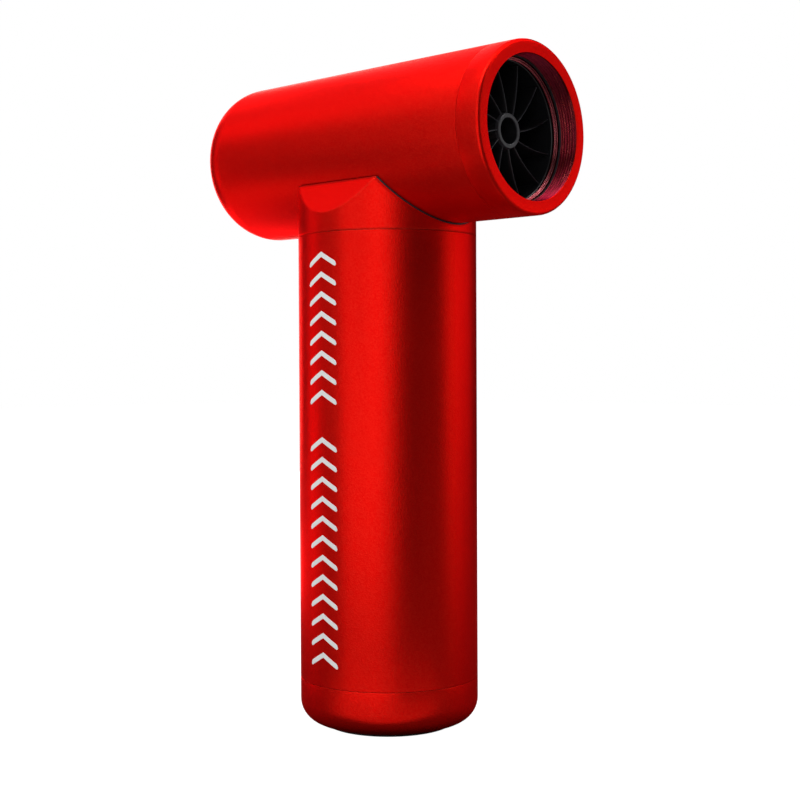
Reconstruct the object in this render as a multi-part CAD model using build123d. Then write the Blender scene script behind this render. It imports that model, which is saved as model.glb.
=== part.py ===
"""Handheld cordless turbo dryer with a T-shaped aluminium body.

The handle is an upright tube on a rounded base cap. A saddle-shaped neck joins it to a level head
tube. Air comes in through a grille in the head's rounded rear end, is driven by an impeller on a
small brushless motor, passes twelve guide vanes and leaves by the threaded mouth at the front.

Frame, in millimetres: the origin is on the floor under the handle's axis, +Z is up and +X is the
way the air leaves. Every piece is written to parts/NAME.step.
"""

import math
import os

from build123d import *

# ---- Driving dimensions -------------------------------------------------------------------
handle_radius = 22.5
handle_wall = 2.0
grip_length = 110.8  # base seam to neck seam
base_height = 12.2  # floor to base seam
base_round = 5.8
head_radius = 20.3
head_wall = 1.8
head_front = 46.5  # handle axis to the mouth
head_rear = 52.0  # handle axis to the rear end
rear_round = 11.0
neck_web = 2.1  # metal between the neck seam and the underside of the head
collar_length = 6.5  # visible length of the ring that carries the mouth's thread

# ---- Clearances ---------------------------------------------------------------------------
seam_gap = 0.1  # between two casings that butt
fit_gap = 0.05  # between a spigot and its bore
run_gap = 0.3  # between a turning or sliding piece and what stays still

# ---- Levels and places that follow --------------------------------------------------------
base_seam = base_height
neck_seam = base_seam + grip_length
axis_z = neck_seam + neck_web + head_radius
handle_bore = handle_radius - handle_wall
head_bore = head_radius - head_wall
collar_seam = head_front - collar_length
head_axis = Axis((0, 0, axis_z), (1, 0, 0))

# ---- Mouth and collar ---------------------------------------------------------------------
mouth_round = 1.3
thread_pitch = 0.75
thread_major = head_radius - 2.9
thread_minor = thread_major - 0.5413 * thread_pitch
thread_chamfer = 0.15
thread_length = 4.7
groove_width = 0.8
lip_width = 1.2
spigot_length = 4.5
seal_section = groove_width / 2 - fit_gap
groove_radius = thread_major + 0.4
thread_end = head_front - thread_length
lip_front = thread_end - groove_width
lip_back = lip_front - lip_width

# ---- Fan module ---------------------------------------------------------------------------
duct_outer = head_bore - 1.0
duct_wall = 1.3
duct_bore = duct_outer - duct_wall
duct_front = lip_back - seam_gap
duct_rear = 2.0
shroud_length = 18.0
shroud_rear = duct_rear - shroud_length
bell_length = 4.0
damper_length = 6.0
lip_bore = duct_bore + 0.1
vane_count = 12
vane_thick = 0.55
vane_turn = -3.0  # degrees from straight down to the first vane
vane_sweep = -14.0  # degrees that a vane leans between hub and duct
vane_length = 12.7
hub_nose = 4.45  # outer radius of the hub's open front end
hub_nose_bore = 3.15
nose_recess = 0.4  # hub's open end behind the duct's front
vane_recess = 0.3  # vanes behind the hub's open end
hub_radius = 9.0
hub_wall = 0.8
hub_rear = 4.0
hub_shoulder = 24.0  # where the hub starts to taper

# ---- Motor --------------------------------------------------------------------------------
motor_gap = 0.05
can_radius = hub_radius - hub_wall - motor_gap
can_wall = 0.7
can_rear = hub_rear + 1.0
can_front = hub_shoulder - 0.5
core_radius = can_radius - can_wall - motor_gap
core_yoke = 1.2
core_rear = can_rear + 5.5
core_length = 9.0
tooth_count = 3
tooth_width = 2.6
rotor_radius = 2.4
sleeve_wall = 0.3
air_gap = 0.4
coil_depth = 1.5  # radial depth of a coil
coil_side = 1.5  # width of a coil on each side of its tooth
coil_end = 1.4  # how far a coil stands past the core
shaft_radius = 1.25
bearing_radius = 4.0
bearing_width = 3.0
race_wall = 0.7
ball_count = 7
shaft_rear = -17.0
rear_bearing = can_rear + 0.3
front_bearing = can_front + 0.6
shaft_front = front_bearing + bearing_width + 0.6

# ---- Impeller -----------------------------------------------------------------------------
impeller_front = -1.0
impeller_length = 12.5
impeller_rear = impeller_front - impeller_length
impeller_radius = duct_bore - run_gap
impeller_hub_front = 8.4
impeller_hub_rear = 4.6
blade_count = 11
blade_thick = 0.7
root_pitch = 38.0  # degrees between a blade's chord and the axis
tip_pitch = 62.0

# ---- Intake grille ------------------------------------------------------------------------
intake_radius = head_radius - 4.5
grille_thick = 2.0
grille_skirt = 5.0
skirt_wall = 1.2
cell_pitch = 3.6  # spacing of the hexagonal holes
cell_rib = 0.8

# ---- Neck ---------------------------------------------------------------------------------
facet_angle = 28.4  # degrees below the head's equator at which the shoulder meets the head
facet_foot = 4.7  # lowest point of the shoulder, above the neck seam
gasket = 0.4
neck_spigot = 6.0
neck_floor = 1.5  # metal below the neck seam
neck_spigot_wall = 1.85
lead_x = 6.5
lead_hole = 5.0
neck_screw_x = 13.5
neck_screw_turn = 16.0  # degrees round the head's axis
screw_radius = 1.25
screw_head = 2.4
screw_grip = 4.6

# ---- Base ---------------------------------------------------------------------------------
pad_thick = 1.6
pad_proud = 0.8
pad_inset = 0.4
cap_floor = 3.2
cap_spigot = 4.8
cap_spigot_wall = 2.0
base_screw_ring = 12.0
base_screw_length = 9.0
post_radius = 3.0

# ---- Control panel at the back of the handle ----------------------------------------------
window_width = 14.0
window_top = neck_seam - 8.0
window_height = 26.8
window_bottom = window_top - window_height
panel_inner = handle_bore - 1.2
flange_lap = 1.3
button_z = window_top - window_width / 2
button_radius = 5.0
button_gap = 0.2
button_proud = 0.8
button_travel = 0.8
button_flange = 0.8
button_flange_thick = 0.75
flange_ceiling = handle_bore - 0.4
trim_width = 0.9
trim_depth = 0.8
trim_proud = 0.15
stem_radius = 1.6
light_z = window_top - 15.4
light_width = 9.0
light_height = 2.6
light_gap = 0.1
port_z = window_bottom + 4.4
port_width = 8.94
port_height = 3.26
port_depth = 7.3
port_wall = 0.3
tongue_width = 6.7
tongue_thick = 0.7
tongue_depth = 5.2

# ---- Circuit board ------------------------------------------------------------------------
board_back = 14.0  # handle axis to the face that carries the switch
board_thick = 1.6
board_front = board_back - board_thick
board_width = 21.0
board_bottom = window_bottom + 0.8
board_top = window_top - 0.5
board_post_y = 6.6
board_post_z = window_bottom + 8.4
board_post_radius = 1.5
board_screw_radius = 0.75
board_screw_head = 1.5
board_screw_length = 5.0
switch_size = 6.0
switch_height = 3.5
plunger_radius = 1.5
led_count = 4
led_spacing = 2.2
led_size = (1.0, 1.2, 0.8)
chip_size = (1.1, 5.0, 6.0)
capacitor_radius = 4.0
capacitor_length = 12.0

# ---- Battery ------------------------------------------------------------------------------
cell_gap = 0.6  # between the pack and the handle's bore
cell_count = 3
cell_radius = (handle_bore - cell_gap) / (1 + 2 / math.sqrt(3))
cell_ring = 2 * cell_radius / math.sqrt(3)
frame_gap = 0.3
frame_web = 2.0
frame_lap = 1.5  # how far a frame's pocket reaches over a cell
contact_radius = 5.0
link_thick = 0.3
link_radius = 3.0
upper_frame_top = window_bottom - flange_lap - 0.4
cell_top = upper_frame_top - frame_web
lower_frame_bottom = base_seam + cap_spigot + seam_gap
cell_bottom = lower_frame_bottom + frame_web
lead_radius = 0.8
lead_spacing = 2.2
return_turn = 300  # degrees round the handle to the channel of the lead from the lower links
return_ring = 17.3

UP = (Align.CENTER, Align.CENTER, Align.MIN)


# ---- Shared shapes ------------------------------------------------------------------------
def post(x, y, z0, z1, radius):
    """An upright round bar from z0 to z1."""
    return Pos(x, y, z0) * Cylinder(radius, z1 - z0, align=UP)


def along(x0, x1, radius, y=0.0, z=axis_z):
    """A round bar along X from x0 to x1."""
    return Pos(x0, y, z) * Rot(0, 90, 0) * Cylinder(radius, x1 - x0, align=UP)


def sleeve(x0, x1, outer, inner):
    """A round tube on the head's axis."""
    return along(x0, x1, outer) - along(x0 - 1, x1 + 1, inner)


def upright_ring(z0, z1, outer, inner):
    """A round tube on the handle's axis."""
    return post(0, 0, z0, z1, outer) - post(0, 0, z0 - 1, z1 + 1, inner)


def turned(*edges):
    """Turns an outline of (x, radius) about the head's axis."""
    plane = Plane((0, 0, axis_z), x_dir=(1, 0, 0), z_dir=(0, -1, 0))
    return revolve(plane * make_face(Curve() + list(edges)), axis=head_axis)


def block(x0, x1, y0, y1, z0, z1):
    """A box from its lowest to its highest corner."""
    centre = ((x0 + x1) / 2, (y0 + y1) / 2, (z0 + z1) / 2)
    return Pos(*centre) * Box(x1 - x0, y1 - y0, z1 - z0)


def stadium(width, height, z, x0, x1):
    """A bar along -X with a round-ended section, for the windows and ports at the back."""
    face = Plane((-x1, 0, z), x_dir=(0, 1, 0), z_dir=(1, 0, 0)) * (
        SlotOverall(max(width, height), min(width, height), rotation=0 if width >= height else 90)
    )
    return extrude(face, x1 - x0)


def shell_band(outer, inner):
    """The part of a tube on the handle's axis that the control panel is cut from."""
    return upright_ring(window_bottom - 5, window_top + 5, outer, inner)


# ---- Head -----------------------------------------------------------------------------------
def rear_dome(inset=0.0):
    """The head's solid outline, from its rounded rear end to the collar seam, set in by inset."""
    radius = head_radius - inset
    bend = rear_round - inset
    back = -head_rear + inset
    corner = bend * math.sqrt(0.5)
    middle = (back + bend - corner, radius - bend + corner)
    front = collar_seam - seam_gap
    return turned(
        Line((back, 0), (back, radius - bend)),
        ThreePointArc((back, radius - bend), middle, (back + bend, radius)),
        Line((back + bend, radius), (front, radius)),
        Line((front, radius), (front, 0)),
        Line((front, 0), (back, 0)),
    )


def neck_screw_places():
    """The places of the screws that hold the head to the neck, each pointing out from the axis."""
    for x in (-neck_screw_x, neck_screw_x):
        for turn in (-neck_screw_turn, neck_screw_turn):
            yield Pos(x, 0, axis_z) * Rot(turn, 0, 0) * Rot(180, 0, 0)


def neck_screw_holes(radius, depth):
    """Round holes along the neck's screws, from inside the head out to a depth past its skin."""
    hole = Pos(0, 0, head_bore - 2) * Cylinder(radius, head_wall + 2 + depth, align=UP)
    return [place * hole for place in neck_screw_places()]


def countersink(gap):
    """The cone that a neck screw's flat head fills, flush with the head's bore."""
    return Pos(0, 0, head_bore) * Cone(
        screw_head + gap, screw_radius + gap, head_wall * 0.7, align=UP
    )


def make_head_shell():
    shell = rear_dome() - (rear_dome(head_wall) + along(0, collar_seam, head_bore))
    shell -= along(-head_rear - 1, -head_rear + rear_round, intake_radius)
    shell -= post(lead_x, 0, neck_seam - 5, axis_z, lead_hole)
    shell -= neck_screw_holes(screw_radius + fit_gap, 2)
    shell -= [place * countersink(fit_gap) for place in neck_screw_places()]
    return shell


def make_front_collar():
    spigot = head_bore - fit_gap
    spigot_bore = duct_outer + fit_gap
    bend = mouth_round * math.sqrt(0.5)
    spigot_rear = collar_seam - spigot_length
    outline = Polyline(
        (head_front - mouth_round, head_radius),
        (collar_seam, head_radius),
        (collar_seam, spigot),
        (spigot_rear, spigot),
        (spigot_rear, spigot_bore),
        (lip_back, spigot_bore),
        (lip_back, lip_bore),
        (lip_front, lip_bore),
        (lip_front, groove_radius),
        (thread_end, groove_radius),
        (thread_end, thread_minor),
        (head_front - thread_chamfer, thread_minor),
        (head_front, thread_minor + thread_chamfer),
        (head_front, head_radius - mouth_round),
    )
    rim = ThreePointArc(
        (head_front, head_radius - mouth_round),
        (head_front - mouth_round + bend, head_radius - mouth_round + bend),
        (head_front - mouth_round, head_radius),
    )
    return turned(outline, rim)


def make_mouth_seal():
    ring = groove_radius - seal_section - fit_gap
    place = Pos(lip_front + seal_section + fit_gap, 0, axis_z) * Rot(0, 90, 0)
    return place * Torus(ring, seal_section)


def make_intake_grille():
    radius = intake_radius - seam_gap
    slab = rear_dome() & along(-head_rear - 1, -head_rear + grille_skirt, radius)
    slab -= rear_dome(grille_thick)
    skirt_rear = -head_rear + rear_round - math.sqrt(
        (rear_round - grille_thick) ** 2 - (radius - head_radius + rear_round) ** 2
    )
    skirt = sleeve(skirt_rear - 0.5, skirt_rear + grille_skirt, radius, radius - skirt_wall)
    grille = slab + skirt
    hexagon = RegularPolygon((cell_pitch - cell_rib) / 2, 6, major_radius=False)
    limit = radius - skirt_wall - cell_pitch / 2
    reach = math.ceil(limit / cell_pitch) + 1
    plane = Plane((-head_rear - 1, 0, axis_z), x_dir=(0, 1, 0), z_dir=(1, 0, 0))
    holes = []
    for row in range(-reach, reach + 1):
        for column in range(-reach, reach + 1):
            y = cell_pitch * (column + row / 2)
            z = cell_pitch * row * math.sqrt(0.75)
            if math.hypot(y, z) <= limit:
                holes.append(extrude(plane * (Pos(y, z) * Rot(0, 0, 30) * hexagon), grille_thick + 5))
    return grille - holes


# ---- Fan module -----------------------------------------------------------------------------
def lead_slot(radius):
    """The slot that the motor's leads pass through, under the head's axis, out past a radius."""
    half_y = (tooth_count - 1) / 2 * lead_spacing + 2 * lead_radius
    half_x = 2 * lead_radius
    bottom = axis_z - radius - 1
    return block(lead_x - half_x, lead_x + half_x, -half_y, half_y, bottom, axis_z - can_radius + can_wall)


def hub_outline(inset):
    """The tapering hub, solid, set in by inset."""
    radius = hub_radius - inset
    nose = hub_nose - inset
    front = duct_front - nose_recess
    middle = (hub_shoulder + front) / 2
    return turned(
        Line((hub_rear, 0), (hub_rear, radius)),
        Line((hub_rear, radius), (hub_shoulder, radius)),
        Spline(
            [(hub_shoulder, radius), (middle, (radius + nose) / 2 + 0.6), (front, nose)],
            tangents=[(1, 0), (1, -0.15)],
        ),
        Line((front, nose), (front, 0)),
        Line((front, 0), (hub_rear, 0)),
    )


def make_vane(turn):
    """One guide vane: a thin band that leans as it goes out, drawn along the axis."""
    inner = (hub_nose + hub_nose_bore) / 2
    outer = duct_bore + duct_wall / 2
    steps = 5
    left = []
    right = []
    for i in range(steps):
        share = i / (steps - 1)
        radius = inner + (outer - inner) * share
        angle = math.radians(turn + vane_sweep * share**0.8)
        side = vane_thick / 2 / radius
        left.append((radius * math.sin(angle - side), radius * math.cos(angle - side)))
        right.append((radius * math.sin(angle + side), radius * math.cos(angle + side)))
    edges = Curve() + [
        Spline(left),
        Line(left[-1], right[-1]),
        Spline(right[::-1]),
        Line(right[0], left[0]),
    ]
    back = duct_front - nose_recess - vane_recess - vane_length
    plane = Plane((back, 0, axis_z), x_dir=(0, -1, 0), z_dir=(1, 0, 0))
    return extrude(plane * make_face(edges), vane_length)


def make_vane_housing():
    vanes = [make_vane(vane_turn + 360 / vane_count * i) for i in range(vane_count)]
    ring = sleeve(duct_rear, duct_front, duct_outer, duct_bore)
    seat = front_bearing + bearing_width
    housing = ring + (hub_outline(0) + vanes)
    housing -= along(hub_rear - 1, can_front + 2 * motor_gap, hub_radius - hub_wall)
    housing -= along(can_front, seat, bearing_radius + motor_gap)
    housing -= along(can_front, duct_front + 1, hub_nose_bore)
    return housing - lead_slot(duct_outer)


def make_inlet_shroud():
    mouth = shroud_rear
    throat = shroud_rear + bell_length
    front = duct_rear - seam_gap
    lip = head_bore - fit_gap
    return turned(
        Line((front, duct_bore), (front, duct_outer)),
        Line((front, duct_outer), (throat, duct_outer)),
        Line((throat, duct_outer), (mouth + 1.5, lip)),
        Line((mouth + 1.5, lip), (mouth, lip)),
        Line((mouth, lip), (mouth, lip - 0.5)),
        Spline([(mouth, lip - 0.5), (throat, duct_bore)], tangents=[(0.4, -1), (1, 0)]),
        Line((throat, duct_bore), (front, duct_bore)),
    )


def make_damper(x):
    return sleeve(x, x + damper_length, head_bore - fit_gap, duct_outer + fit_gap)


# ---- Motor ----------------------------------------------------------------------------------
def make_motor_can():
    can = along(can_rear, can_front, can_radius)
    can -= along(rear_bearing + bearing_width + 0.6, can_front + 1, can_radius - can_wall)
    can -= along(rear_bearing, can_front, bearing_radius + motor_gap)
    can -= along(can_rear - 1, can_front, bearing_radius - 1)
    return can - lead_slot(can_radius)


def tooth_turns():
    return [Pos(0, 0, axis_z) * Rot(360 / tooth_count * i, 0, 0) for i in range(tooth_count)]


def make_stator_core():
    shoe = rotor_radius + sleeve_wall + air_gap
    front = core_rear + core_length
    core = sleeve(core_rear, front, core_radius, core_radius - core_yoke)
    tooth = block(core_rear, front, -tooth_width / 2, tooth_width / 2, shoe, core_radius - core_yoke / 2)
    core += [turn * tooth for turn in tooth_turns()]
    return core - along(core_rear - 1, front + 1, shoe)


def make_stator_coils():
    outer = core_radius - core_yoke - 0.2
    inner = outer - coil_depth
    half = tooth_width / 2
    rear = core_rear - coil_end
    front = core_rear + core_length + coil_end
    coil = block(rear, front, -half - coil_side, half + coil_side, inner, outer - 0.9)
    gap = fit_gap
    tooth_end = core_rear + core_length + gap
    coil -= block(core_rear - gap, tooth_end, -half - gap, half + gap, inner - 1, outer + 1)
    return [turn * coil for turn in tooth_turns()]


def make_motor_shaft():
    return along(shaft_rear, shaft_front, shaft_radius)


def make_rotor_magnet():
    return sleeve(core_rear - 0.5, core_rear + core_length + 0.5, rotor_radius, shaft_radius + 0.01)


def make_magnet_sleeve():
    outer = rotor_radius + sleeve_wall
    return sleeve(core_rear - 0.8, core_rear + core_length + 0.8, outer, rotor_radius + 0.01)


bearing_places = (rear_bearing, front_bearing)
inner_race = shaft_radius + race_wall
outer_race = bearing_radius - race_wall
ball_ring = (inner_race + outer_race) / 2
ball_radius = (outer_race - inner_race) / 2 - 0.04


def make_bearing_outer_rings():
    groove = Rot(0, 90, 0) * Torus(ball_ring, ball_radius + 0.08)
    return [
        sleeve(x, x + bearing_width, bearing_radius, outer_race - 0.2)
        - Pos(x + bearing_width / 2, 0, axis_z) * groove
        for x in bearing_places
    ]


def make_bearing_inner_rings():
    groove = Rot(0, 90, 0) * Torus(ball_ring, ball_radius + 0.08)
    return [
        sleeve(x, x + bearing_width, inner_race + 0.2, shaft_radius + 0.01)
        - Pos(x + bearing_width / 2, 0, axis_z) * groove
        for x in bearing_places
    ]


def make_bearing_balls():
    return [
        Pos(x + bearing_width / 2, 0, axis_z) * Rot(360 / ball_count * i, 0, 0) * Pos(0, 0, ball_ring)
        * Sphere(ball_radius)
        for x in bearing_places
        for i in range(ball_count)
    ]


def make_preload_spring():
    rear = rear_bearing + bearing_width + 0.02
    return sleeve(rear, rear + 0.4, bearing_radius, bearing_radius - 1.1)


# ---- Impeller -------------------------------------------------------------------------------
def make_blade(turn):
    """One fan blade: a thin plate that twists from its root, inside the hub, to its tip."""
    middle = (impeller_rear + impeller_front) / 2 + 0.6
    sections = []
    for share in (0.0, 0.5, 1.0):
        radius = 3.6 + (impeller_radius + 0.6 - 3.6) * share
        pitch = root_pitch + (tip_pitch - root_pitch) * share
        chord = 10.0 - 1.0 * share
        plane = Plane((middle, 0, radius), x_dir=(1, 0, 0), z_dir=(0, 0, 1))
        sections.append(plane * (Rot(0, 0, pitch) * Rectangle(chord, blade_thick)))
    return Pos(0, 0, axis_z) * Rot(turn, 0, 0) * loft(sections)


def make_impeller():
    hub = turned(
        Line((impeller_front, 0), (impeller_front, impeller_hub_front)),
        ThreePointArc(
            (impeller_front, impeller_hub_front),
            ((impeller_front + impeller_rear) / 2, (impeller_hub_front + impeller_hub_rear) / 2 + 0.7),
            (impeller_rear, impeller_hub_rear),
        ),
        Line((impeller_rear, impeller_hub_rear), (impeller_rear, 0)),
        Line((impeller_rear, 0), (impeller_front, 0)),
    )
    blades = [make_blade(360 / blade_count * i) for i in range(blade_count)]
    wheel = (hub + blades) & along(impeller_rear, impeller_front, impeller_radius)
    return wheel - along(impeller_rear - 1, impeller_front + 1, shaft_radius + 0.01)


def make_impeller_nut():
    nut_front = impeller_rear - 0.02
    nut = sleeve(nut_front - 2.4, nut_front, 3.4, shaft_radius + 0.01)
    flats = RegularPolygon(2.9, 6, major_radius=False)
    plane = Plane((nut_front - 3, 0, axis_z), x_dir=(0, 1, 0), z_dir=(1, 0, 0))
    return nut & extrude(plane * flats, 4)


# ---- Neck -----------------------------------------------------------------------------------
skin = head_radius + gasket
facet_y = skin * math.cos(math.radians(facet_angle))
facet_z = axis_z - skin * math.sin(math.radians(facet_angle))
facet_slope = (facet_z - neck_seam - facet_foot) / (handle_radius - facet_y)


def shoulder_cut():
    """The wedge above the sloping shoulders, on both sides of the head."""
    reach = handle_radius + 5
    drop = facet_slope * (reach - facet_y)
    outline = Polyline(
        (facet_y, facet_z), (reach, facet_z - drop), (reach, axis_z + 5), (facet_y, axis_z + 5), close=True
    )
    wedge = extrude(Plane.YZ * make_face(outline), reach, both=True)
    return wedge + mirror(wedge, about=Plane.XZ)


def make_neck():
    spigot_bottom = neck_seam - neck_spigot
    spigot = handle_bore - fit_gap
    neck = post(0, 0, neck_seam, axis_z, handle_radius)
    neck += post(0, 0, spigot_bottom, neck_seam, spigot)
    neck -= post(0, 0, spigot_bottom - 1, neck_seam - neck_floor, spigot - neck_spigot_wall)
    neck -= along(-handle_radius - 5, handle_radius + 5, skin)
    neck -= shoulder_cut()
    neck -= post(lead_x, 0, spigot_bottom, axis_z, lead_hole)
    neck -= neck_screw_holes(screw_radius + fit_gap, screw_grip - head_wall + 0.6)
    return neck


def make_neck_gasket():
    seat = sleeve(-handle_radius, handle_radius, skin - fit_gap / 2, head_radius + fit_gap / 2)
    seat &= post(0, 0, neck_seam, facet_z - 0.1, handle_radius - 0.15)
    seat -= post(lead_x, 0, neck_seam, axis_z, lead_hole)
    return seat - neck_screw_holes(screw_radius + fit_gap, 2)


def make_neck_screws():
    shank = Pos(0, 0, head_bore + 0.1) * Cylinder(screw_radius, screw_grip, align=UP)
    head = countersink(0)
    socket = Pos(0, 0, head_bore - 0.1) * extrude(RegularPolygon(0.8, 6), 0.8)
    return [place * (shank + head - socket) for place in neck_screw_places()]


# ---- Handle and base ------------------------------------------------------------------------
def window_bar(grow=0.0, x0=0.0, x1=handle_radius + 5):
    """A bar through the handle's back with the window's outline, grown by grow."""
    middle = (window_top + window_bottom) / 2
    return stadium(window_width + 2 * grow, window_height + 2 * grow, middle, x0, x1)


def make_handle_tube():
    tube = upright_ring(base_seam + seam_gap / 2, neck_seam - seam_gap, handle_radius, handle_bore)
    return tube - window_bar()


def base_screw_places():
    for i in range(cell_count):
        turn = math.radians(360 / cell_count * i + 180)
        yield Pos(base_screw_ring * math.cos(turn), base_screw_ring * math.sin(turn), 0)


def base_screw_hole(radius, z0, z1):
    return [place * post(0, 0, z0, z1, radius) for place in base_screw_places()]


cap_top = base_seam - seam_gap / 2
pad_radius = handle_radius - base_round - pad_inset
head_seat = pad_thick + 1.5  # top of the countersinks under the pad


def make_base_cap():
    bend = base_round * math.sqrt(0.5)
    flat = handle_radius - base_round
    spigot = handle_bore - fit_gap
    spigot_top = base_seam + cap_spigot
    outline = Polyline(
        (handle_radius, pad_proud + base_round),
        (handle_radius, cap_top),
        (spigot, cap_top),
        (spigot, spigot_top),
        (spigot - cap_spigot_wall, spigot_top),
        (spigot - cap_spigot_wall, pad_proud + cap_floor + 2),
        (spigot - cap_spigot_wall - 3, pad_proud + cap_floor),
        (0, pad_proud + cap_floor),
        (0, pad_thick + fit_gap),
        (pad_radius + fit_gap, pad_thick + fit_gap),
        (pad_radius + fit_gap, pad_proud),
        (flat, pad_proud),
    )
    corner = ThreePointArc(
        (flat, pad_proud),
        (flat + bend, pad_proud + base_round - bend),
        (handle_radius, pad_proud + base_round),
    )
    cap = revolve(Plane.XZ * make_face(Curve() + [outline, corner]), axis=Axis.Z)
    cap -= base_screw_hole(screw_radius + fit_gap, 0, base_seam)
    cap -= base_screw_hole(screw_head + fit_gap, 0, head_seat)
    return cap


def make_base_pad():
    pad = post(0, 0, 0, pad_thick, pad_radius)
    tread = upright_ring(-1, 0.3, pad_radius - 3.0, pad_radius - 4.2)
    return pad - tread


def make_base_screws():
    screw = post(0, 0, pad_thick + fit_gap * 2, head_seat - fit_gap, screw_head)
    screw += post(0, 0, head_seat - 0.5, head_seat + base_screw_length, screw_radius)
    socket = Pos(0, 0, pad_thick) * extrude(RegularPolygon(0.8, 6), 0.9)
    return [place * (screw - socket) for place in base_screw_places()]


# ---- Battery pack ---------------------------------------------------------------------------
def cell_places():
    for i in range(cell_count):
        turn = math.radians(360 / cell_count * i)
        yield cell_ring * math.cos(turn), cell_ring * math.sin(turn)


def make_battery_cell(x, y):
    body = post(x, y, cell_bottom + fit_gap, cell_top - 0.6, cell_radius - fit_gap)
    return body + post(x, y, cell_top - 0.8, cell_top - fit_gap, 3.2)


def cell_pockets(z0, z1):
    return [post(x, y, z0, z1, cell_radius + fit_gap) for x, y in cell_places()]


def contact_windows(z0, z1):
    return [post(x, y, z0, z1, contact_radius) for x, y in cell_places()]


def return_place():
    turn = math.radians(return_turn)
    return return_ring * math.cos(turn), return_ring * math.sin(turn)


def return_channel(z0, z1, gap):
    """The hole that the lead from the lower links passes through, grown by a gap."""
    return post(*return_place(), z0, z1, lead_radius + gap)


def make_upper_cell_frame():
    frame = post(0, 0, cell_top - frame_lap, upper_frame_top, handle_bore - frame_gap)
    frame -= cell_pockets(cell_top - frame_lap - 1, cell_top)
    frame -= contact_windows(cell_top - 1, upper_frame_top + 1)
    frame -= return_channel(cell_top - frame_lap - 1, upper_frame_top + 1, frame_gap)
    return frame - post(0, 0, cell_top - frame_lap - 1, upper_frame_top + 1, 3.0)


def make_lower_cell_frame():
    frame = post(0, 0, lower_frame_bottom, cell_bottom + frame_lap, handle_bore - frame_gap)
    frame -= cell_pockets(cell_bottom, cell_bottom + frame_lap + 1)
    frame -= contact_windows(lower_frame_bottom - 1, cell_bottom + 1)
    frame -= return_channel(lower_frame_bottom - 1, cell_bottom + frame_lap + 1, frame_gap)
    foot = pad_proud + cap_floor + fit_gap
    frame += base_screw_hole(post_radius, foot, lower_frame_bottom + frame_web)
    return frame - base_screw_hole(screw_radius + 0.02, foot - 1, head_seat + base_screw_length + 1)


def link_strip(places, z, contact_z):
    """Welded nickel strip over the contacts at places, flat at z, with tabs down or up to contact_z."""
    low = min(z, contact_z)
    high = max(z, contact_z)
    strip = [post(x, y, low, high + link_thick, link_radius) for x, y in places]
    for (xa, ya), (xb, yb) in zip(places, places[1:]):
        turn = math.degrees(math.atan2(yb - ya, xb - xa))
        bar = Rot(0, 0, turn) * Box(math.hypot(xb - xa, yb - ya), 2 * link_radius - 1, link_thick)
        strip.append(Pos((xa + xb) / 2, (ya + yb) / 2, z + link_thick / 2) * bar)
    return Part() + strip


def make_cell_links_upper():
    places = list(cell_places())
    level = upper_frame_top + fit_gap
    return [
        link_strip(places[1:], level, cell_top + fit_gap),
        link_strip(places[:1], level, cell_top + fit_gap),
    ]


def make_cell_links_lower():
    places = list(cell_places())
    level = lower_frame_bottom - fit_gap - link_thick
    return [
        link_strip(places[:2], level, cell_bottom - fit_gap - link_thick),
        link_strip(places[2:], level, cell_bottom - fit_gap - link_thick),
    ]


# ---- Control panel and board ----------------------------------------------------------------
def board_posts(radius, x0, x1):
    return [along(-x1, -x0, radius, y, board_post_z) for y in (-board_post_y, board_post_y)]


def back_bar(x0, x1, radius, z):
    """A round bar along X, x0 and x1 behind the handle's axis."""
    return along(-x1, -x0, radius, 0, z)


def make_control_panel():
    panel = shell_band(handle_radius, panel_inner) & window_bar(-seam_gap)
    panel += shell_band(handle_bore - fit_gap, panel_inner) & window_bar(flange_lap)
    panel += board_posts(board_post_radius, board_back + 0.02, panel_inner - 0.4)
    reach = handle_radius + 2
    panel -= back_bar(board_back, reach, button_radius + button_gap, button_z)
    panel -= back_bar(board_back, flange_ceiling, button_radius + button_flange + button_gap, button_z)
    pocket = back_bar(board_back, reach, button_radius + button_gap + trim_width + fit_gap, button_z)
    panel -= pocket - post(0, 0, window_bottom, window_top + 5, handle_radius - trim_depth)
    panel -= stadium(light_width + 2 * light_gap, light_height + 2 * light_gap, light_z, 1, reach)
    panel -= stadium(port_width + 0.3, port_height + 0.3, port_z, 1, reach)
    return panel - board_posts(board_screw_radius + 0.03, board_front, board_front + board_screw_length + 0.6)


def make_button_trim():
    outer = button_radius + button_gap + trim_width
    inner = button_radius + button_gap
    ring = back_bar(1, handle_radius + 2, outer, button_z) - back_bar(0, handle_radius + 3, inner, button_z)
    return ring & shell_band(handle_radius + trim_proud, handle_radius - trim_depth + fit_gap)


stem_end = board_back + switch_height + button_travel + 0.1


def make_power_button():
    face = handle_radius + button_proud
    flange_outer = flange_ceiling - 0.15
    flange_inner = flange_outer - button_flange_thick
    button = back_bar(flange_inner, face, button_radius, button_z)
    button = fillet(button.faces().sort_by(Axis.X)[0].edges(), 0.6)
    button += back_bar(flange_inner, flange_outer, button_radius + button_flange, button_z)
    return button + back_bar(stem_end, flange_inner + 0.1, stem_radius, button_z)


def make_switch_plunger():
    return back_bar(stem_end - 1.35, stem_end - 0.05, plunger_radius, button_z)


def make_tact_switch():
    half = switch_size / 2
    face = board_back + switch_height
    body = block(-face, -board_back - 0.02, -half, half, button_z - half, button_z + half)
    return body - back_bar(board_back + 1.2, face + 1, plunger_radius + 0.1, button_z)


def make_light_guide():
    bar = stadium(light_width, light_height, light_z, board_back + led_size[0] + 0.2, handle_radius + 2)
    return bar & post(0, 0, window_bottom, window_top, handle_radius)


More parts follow.
